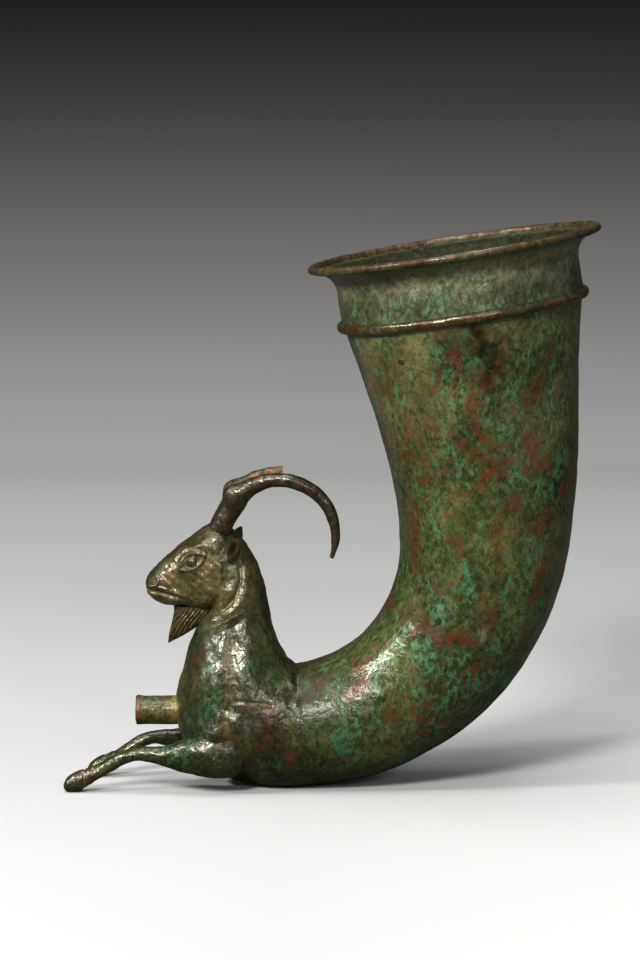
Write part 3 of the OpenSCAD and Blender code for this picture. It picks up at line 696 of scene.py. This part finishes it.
# %% [markdown]
# ## The patina
# Long burial turns bronze olive and malachite green, with red-brown cuprite where the green has flaked, black
# specks, and pale earth in every hollow. Wax makes the highlights glossy and broken. One recipe serves all
# pieces, and its patterns are measured in real millimetres and run on over every joint.


# %% A small kit for the finishes
def linear(code):
    """A hex colour as linear light: below 0.04045 over 12.92, else ((c + 0.055) / 1.055) to the power 2.4."""
    c = np.array([int(code[i:i + 2], 16) / 255 for i in (1, 3, 5)])
    c = np.where(c <= 0.04045, c / 12.92, ((c + 0.055) / 1.055) ** 2.4)
    return (*c, 1.0)


def node(tree, kind, links=None, **values):
    """Adds one node: values set its inputs or properties, and links join its inputs to other outputs."""
    made_node = tree.nodes.new(kind)
    for key, value in values.items():
        if key in made_node.inputs.keys():
            made_node.inputs[key].default_value = value
        else:
            setattr(made_node, key, value)
    for key, source in (links or {}).items():
        tree.links.new(source, made_node.inputs[key])
    return made_node


def ramp(tree, source, stops):
    """A colour ramp over source, from stops of (place, hex colour or grey), with straight lines between."""
    made_node = tree.nodes.new("ShaderNodeValToRGB")
    elements = made_node.color_ramp.elements
    while len(elements) < len(stops):
        elements.new(0.5)
    for element, (place, value) in zip(elements, stops):
        element.position = place
        element.color = linear(value) if isinstance(value, str) else (value, value, value, 1)
    tree.links.new(source, made_node.inputs["Fac"])
    return made_node.outputs["Color"]


def mix(tree, share, a, b, blend="MIX"):
    """Mixes two colours; share, a and b may be outputs or constants."""
    made_node = tree.nodes.new("ShaderNodeMix")
    made_node.data_type = "RGBA"
    made_node.blend_type = blend
    for socket, value in ((made_node.inputs[0], share), (made_node.inputs[6], a), (made_node.inputs[7], b)):
        if isinstance(value, str):
            socket.default_value = linear(value)
        elif isinstance(value, (int, float)):
            socket.default_value = value
        else:
            tree.links.new(value, socket)
    return made_node.outputs[2]


def math(tree, operation, a, b=0.0, clamp=False):
    """One sum on numbers; a and b may be outputs or constants."""
    made_node = tree.nodes.new("ShaderNodeMath")
    made_node.operation = operation
    made_node.use_clamp = clamp
    for socket, value in zip(made_node.inputs, (a, b)):
        if isinstance(value, (int, float)):
            socket.default_value = value
        else:
            tree.links.new(value, socket)
    return made_node.outputs[0]


def noise(tree, at, size, detail=6.0, rough=0.6, distort=0.0, shift=0.0, tall=1.0):
    """Noise whose cells measure about size mm across and tall times that upwards."""
    moved = node(tree, "ShaderNodeVectorMath", {"Vector": at}, operation="MULTIPLY_ADD")
    moved.inputs[1].default_value = (1, 1, 1 / tall)
    moved.inputs[2].default_value = (shift, 0.7 * shift, -0.4 * shift)
    made_node = node(tree, "ShaderNodeTexNoise", {"Vector": moved.outputs[0]})
    made_node.inputs["Scale"].default_value = 1 / (size * MM)
    made_node.inputs["Detail"].default_value = detail
    made_node.inputs["Roughness"].default_value = rough
    made_node.inputs["Distortion"].default_value = distort
    return made_node.outputs["Fac"]


def cover(tree, source, share, soft, full):
    """A mask on about a share of the surface, as a steep ramp on noise that crowds about a half.

    A share below 0 leaves only the noise's few highest places."""
    start = 0.5 + 0.24 * (0.5 - share)
    return ramp(tree, source, [(start, 0.0), (start + soft, full)])


def blended(tree, *parts):
    """A weighted sum of outputs, from (output, weight) pairs."""
    total = math(tree, "MULTIPLY", *parts[0])
    for source, weight in parts[1:]:
        total = math(tree, "ADD", total, math(tree, "MULTIPLY", source, weight))
    return total


def patina(name, dark, mid, warm, green, red, pale, shares, shine, gloss, depth=1.0):
    """The patina. Shares are those of warm olive, malachite, red cuprite and black, then earth in hollows.

    The noises are 30 mm clouds, 11 and 17 mm patches, 7 mm specks, 2.2 mm mottling, and a grain of 0.7 mm.
    Real crystals of malachite are finer than that grain, which is drawn as coarse as it needs to show."""
    material = bpy.data.materials.new(name)
    material.use_nodes = True
    tree = material.node_tree
    tree.nodes.clear()
    at = node(tree, "ShaderNodeTexCoord").outputs["Object"]
    worn, hollow, shade = [node(tree, "ShaderNodeAttribute", attribute_name=a).outputs["Fac"]
                           for a in ("worn", "hollow", "shade")]
    cloud = noise(tree, at, 30, 6, 0.65, 0.8)
    patch = noise(tree, at, 11, 9, 0.74, 0.8, 0.31, 1.7)
    flake = noise(tree, at, 17, 10, 0.76, 1.0, 0.12, 1.5)
    speck = noise(tree, at, 7, 9, 0.8, 0.6, 0.94)
    fine = noise(tree, at, 2.2, 7, 0.7, 0.3, 0.57, 1.5)
    grain = noise(tree, at, 0.7, 4, 0.65, 0.0, 0.83)

    # The colour, in layers: ground, four kinds of corrosion, pale grains, earth that is partly a painted
    # highlight on the face, dark stain and painted shade, and rubbed metal.
    mottle = blended(tree, (cloud, 0.4), (fine, 0.6))
    base = mix(tree, ramp(tree, mottle, [(0.36, 0.0), (0.6, 1.0)]), dark, mid)
    layers = [
        ([(speck, 0.4), (cloud, 0.35), (fine, 0.25)], 0.07, 0.7, warm),
        ([(patch, 0.5), (fine, 0.5)], 0.06, 0.8, green),
        ([(flake, 0.55), (fine, 0.45)], 0.04, 0.85, red),
        ([(speck, 0.5), (patch, 0.5)], 0.03, 0.9, "#100f0b")]
    for (parts, edge_width, full, colour), share in zip(layers, shares):
        base = mix(tree, cover(tree, blended(tree, *parts), share, edge_width, full), base, colour)
    base = mix(tree, cover(tree, grain, -0.06, 0.06, 0.4), base, pale)
    earth = math(tree, "MULTIPLY", hollow, ramp(tree, fine, [(0.3, 0.35), (0.58, 1.0)]), True)
    base = mix(tree, math(tree, "MULTIPLY", earth, shares[4]), base, pale)
    # Painted shade: the shade mark darkens towards a near black brown inside the cup, by the seam with the
    # chest, in the head's creases and in the ears' cups; the same mark draws real stains and the brown lip.
    base = mix(tree, shade, base, "#181109")
    rubbed = math(tree, "MULTIPLY", worn, ramp(tree, fine, [(0.38, 0.1), (0.6, 1.0)]), True)
    gold = mix(tree, ramp(tree, patch, [(0.46, 0.0), (0.6, 1.0)]), red, "#8a6a38")
    base = mix(tree, rubbed, base, gold)
    grime = ramp(tree, blended(tree, (grain, 0.5), (fine, 0.5)), [(0.36, 0.3), (0.6, 1.0)])
    base = mix(tree, 0.75, base, grime, "MULTIPLY")

    # The relief: soft dimples first, and small pits on top of them.
    rough = ramp(tree, fine, [(0.32, gloss), (0.66, gloss + 0.19)])
    lump = noise(tree, at, 5.5, 2, 0.5, 0.4, 0.44)
    dimple = noise(tree, at, 1.7, 2, 0.5, 0.0, 0.71)
    soft = node(tree, "ShaderNodeBump", {"Height": blended(tree, (lump, 1.0), (dimple, 0.28))}, Strength=1.0)
    soft.inputs["Distance"].default_value = 0.9 * depth * MM
    pits = blended(tree, (ramp(tree, grain, [(0.36, 0.0), (0.46, 1.0)]), 0.35), (fine, 1.0))
    sharp = node(tree, "ShaderNodeBump", {"Height": pits, "Normal": soft.outputs[0]}, Strength=1.0)
    sharp.inputs["Distance"].default_value = 0.1 * depth * MM

    # The shine: corroded bronze is partly metal where it is rubbed, and wax lies on it as a coat in patches.
    rough = math(tree, "ADD", rough, math(tree, "MULTIPLY", shade, 0.3), True)
    bare = math(tree, "ADD", math(tree, "MULTIPLY", rubbed, 0.5), 0.3, True)
    open_part = math(tree, "ADD", math(tree, "SUBTRACT", 1.0, shade, True), rubbed, True)
    metal = math(tree, "MULTIPLY", bare, open_part)
    shader = node(tree, "ShaderNodeBsdfPrincipled", {
        "Base Color": base, "Roughness": rough, "Normal": sharp.outputs[0], "Metallic": metal,
        "Specular IOR Level": math(tree, "MULTIPLY", open_part, 0.5),
        "Coat Weight": math(tree, "MULTIPLY", ramp(tree, cloud, [(0.4, 0.35), (0.6, 1.0)]),
                            math(tree, "MULTIPLY", open_part, shine)),
        "Coat Normal": sharp.outputs[0]})
    shader.inputs["Coat Roughness"].default_value = 0.16
    node(tree, "ShaderNodeOutputMaterial", {"Surface": shader.outputs[0]})
    return material


# %% The finishes of this cup
# Each comment says what the finish gives the eye.
finishes = {
    # Small broken highlights over mottled olive and malachite, on a skin smoothed by the hammer.
    "green_patina_sheet": patina(
        "Waxed green patina on beaten bronze",
        "#262a12", "#5e7038", "#868446", "#4f946a", "#6a2c15", "#b8b076",
        (0.42, 0.47, 0.44, -0.4, 0.6), shine=0.9, gloss=0.18, depth=0.5),
    # Deeper green and brown with a rougher skin, and pale earth in its grooves.
    "green_patina_cast": patina(
        "Waxed green patina on cast bronze",
        "#1f1c0d", "#3c451d", "#6e5c2b", "#2b6637", "#54240f", "#a8925a",
        (0.4, 0.42, 0.38, -0.1, 0.75), shine=1.0, gloss=0.22, depth=0.65),
    # Greyer and drier, with dusty earth under the lip and brown on it.
    "pale_patina": patina(
        "Pale green patina with earth",
        "#2e321a", "#66704a", "#807c4a", "#568c6e", "#5c321a", "#b4ae88",
        (0.42, 0.42, 0.22, -0.1, 0.75), shine=0.7, gloss=0.27, depth=0.5),
    # Dull red where the crown of the moulding is rubbed through its green.
    "red_worn_moulding": patina(
        "Red cuprite on a worn moulding",
        "#252511", "#4a5028", "#65642f", "#4a7a58", "#7a3018", "#a09a66",
        (0.4, 0.4, 0.3, 0.04, 0.4), shine=1.0, gloss=0.24, depth=0.5),
    # Brown and glossy, with little green, as on thin castings that hands have smoothed.
    "brown_patina_trim": patina(
        "Brown and green patina, waxed",
        "#1c170a", "#39341a", "#5e5026", "#2d4f2e", "#552a16", "#a08c54",
        (0.38, 0.3, 0.36, 0.0, 0.7), shine=1.0, gloss=0.22, depth=0.65),
    # Matt and pinkish where the break laid the copper bare.
    "red_broken_trim": patina(
        "Green patina with a bare copper break",
        "#221c0d", "#4a4420", "#6e6230", "#375f38", "#b0705c", "#b09c58",
        (0.4, 0.3, 0.25, 0.12, 0.5), shine=0.3, gloss=0.42),
    # Golden brown, as metal looks where it is often touched.
    "golden_patina_spout": patina(
        "Golden-brown worn patina",
        "#2e2a12", "#636030", "#85753a", "#4f7a40", "#86502a", "#b09c58",
        (0.45, 0.4, 0.25, 0.1, 0.8), shine=0.6, gloss=0.3)}
for piece, slot in made:
    piece.data.materials.clear()
    piece.data.materials.append(finishes[slot])
print("finishes:", [m.name for m in finishes.values()])

# %% [markdown]
# ## The studio
# A pale paper sweep runs back from the table and up, and darkens with height. The key is a soft light in
# front on the left, so the shadow falls back to the right. A small strong lamp on the left draws the streak
# along the bend, a small weak one stands in front on the right, and a wide one hangs above.


# %% Paper sweep
def sweep_grid():
    """A sheet along y: flat to the bend, a quarter circle, then upright; the other direction is x."""
    flat = np.linspace(-1.6, 1.1, 60)
    turn = np.radians(np.linspace(0, 90, 40))[1:]
    wall = np.linspace(0.9, 3.4, 40)[1:]
    y = np.concatenate([flat, 1.1 + 0.9 * np.sin(turn), 0 * wall + 2.0])
    z = np.concatenate([0 * flat, 0.9 - 0.9 * np.cos(turn), wall])
    x = np.linspace(-3.2, 3.2, 40)
    return np.stack(np.broadcast_arrays(x[None, :], y[:, None], z[:, None]), -1)


grid = sweep_grid()
n, m = grid.shape[:2]
i, j = np.meshgrid(np.arange(n - 1), np.arange(m - 1), indexing="ij")
quads = np.stack([i * m + j, i * m + j + 1, (i + 1) * m + j + 1, (i + 1) * m + j], -1).reshape(-1, 4)
mesh = bpy.data.meshes.new("paper_sweep")
mesh.from_pydata((grid.reshape(-1, 3) - [0, 0, 0.0002]).tolist(), [], quads.tolist())
length = np.concatenate([[0], np.cumsum(np.linalg.norm(np.diff(grid[:, 0], axis=0), axis=1))])
along = (length / length[-1])[:, None] + 0 * grid[..., 0]
mesh.attributes.new("along", "FLOAT", "POINT").data.foreach_set("value", along.reshape(-1).astype(np.float32))
mesh.shade_smooth()
sweep = bpy.data.objects.new("paper_sweep", mesh)
bpy.context.scene.collection.objects.link(sweep)

paper = bpy.data.materials.new("White studio paper")
paper.use_nodes = True
tree = paper.node_tree
tree.nodes.clear()
along = node(tree, "ShaderNodeAttribute", attribute_name="along").outputs["Fac"]

# The tone runs from the table's front edge, at 0, to the top of the wall, at 1. The tone is painted light: it
# darkens up the wall as the light falls off, and near right it is brighter to lift the lamps' shadow there.
tone = ramp(tree, along, [
    (0.2, "#c8c9ca"), (0.22, "#cbcccd"), (0.315, "#c8c9ca"), (0.38, "#d0d1d2"), (0.42, "#cccdcd"),
    (0.443, "#bababb"), (0.47, "#999999"), (0.496, "#717171"), (0.517, "#474747"), (0.535, "#262626")])
coords = node(tree, "ShaderNodeTexCoord").outputs["Object"]
across = node(tree, "ShaderNodeSeparateXYZ", {"Vector": coords}).outputs["X"]
right = math(tree, "MULTIPLY", across, 3.0, True)
near = ramp(tree, along, [(0.255, 0.45), (0.29, 0.0)])
tone = mix(tree, math(tree, "MULTIPLY", right, near), tone, "#ffffff")
fibre = noise(tree, coords, 3, 4)
tone = mix(tree, 0.03, tone, ramp(tree, fibre, [(0.3, 0.6), (0.7, 1.0)]), "MULTIPLY")

# Only the camera sees the paper this bright. To the cup it is a darker grey, so that it adds little light.
seen = node(tree, "ShaderNodeLightPath").outputs["Is Camera Ray"]
tone = mix(tree, seen, "#4c4c4a", tone)
shader = node(tree, "ShaderNodeBsdfPrincipled", {"Base Color": tone}, Roughness=0.9)
shader.inputs["Specular IOR Level"].default_value = 0.1
node(tree, "ShaderNodeOutputMaterial", {"Surface": shader.outputs[0]})
mesh.materials.append(paper)


# %% Lights and camera
def soft_light(name, place, target, size, power, colour="#ffffff"):
    """A square area light at place that faces target, sizes in metres and power in watts."""
    data = bpy.data.lights.new(name, "AREA")
    data.shape, data.size, data.energy = "SQUARE", size, power
    data.color = linear(colour)[:3]
    lamp = bpy.data.objects.new(name, data)
    bpy.context.scene.collection.objects.link(lamp)
    lamp.location = place
    lamp.rotation_euler = (Vector(target) - Vector(place)).to_track_quat("-Z", "Y").to_euler()
    return lamp


lamps = [
    soft_light("key", (-0.55, -1.42, 1.08), (0.03, 0.0, 0.15), 0.36, 31.0, "#fffbf6"),
    soft_light("left", (-1.05, -0.5, 0.78), (0.0, 0.0, 0.1), 0.14, 9.5, "#fffaf6"),
    soft_light("front", (0.45, -1.3, 0.62), (0.0, 0.0, 0.1), 0.13, 2.5, "#fffaf6"),
    soft_light("top", (0.0, -0.2, 1.6), (0.03, 0.2, 0.0), 1.0, 14.0)]
print("lamps in watts:", {lamp.name: lamp.data.energy for lamp in lamps})
world = bpy.data.worlds.new("studio_air")
world.use_nodes = True
world.node_tree.nodes["Background"].inputs["Color"].default_value = linear("#e8e9ea")
world.node_tree.nodes["Background"].inputs["Strength"].default_value = 0.22
scene = bpy.context.scene
scene.world = world

camera_data = bpy.data.cameras.new("camera")
camera = bpy.data.objects.new("camera", camera_data)
scene.collection.objects.link(camera)
camera.location = (0.0165, -1.38, 0.3113)
aim = Vector((0.0165, 0.0, 0.1326)) - camera.location
camera.rotation_euler = aim.to_track_quat("-Z", "Y").to_euler()
camera_data.sensor_fit = "VERTICAL"
camera_data.angle = np.radians(16.8)
camera_data.clip_start, camera_data.clip_end = 0.05, 20.0
scene.camera = camera
scene.view_settings.view_transform = "Standard"
scene.view_settings.look = "None"
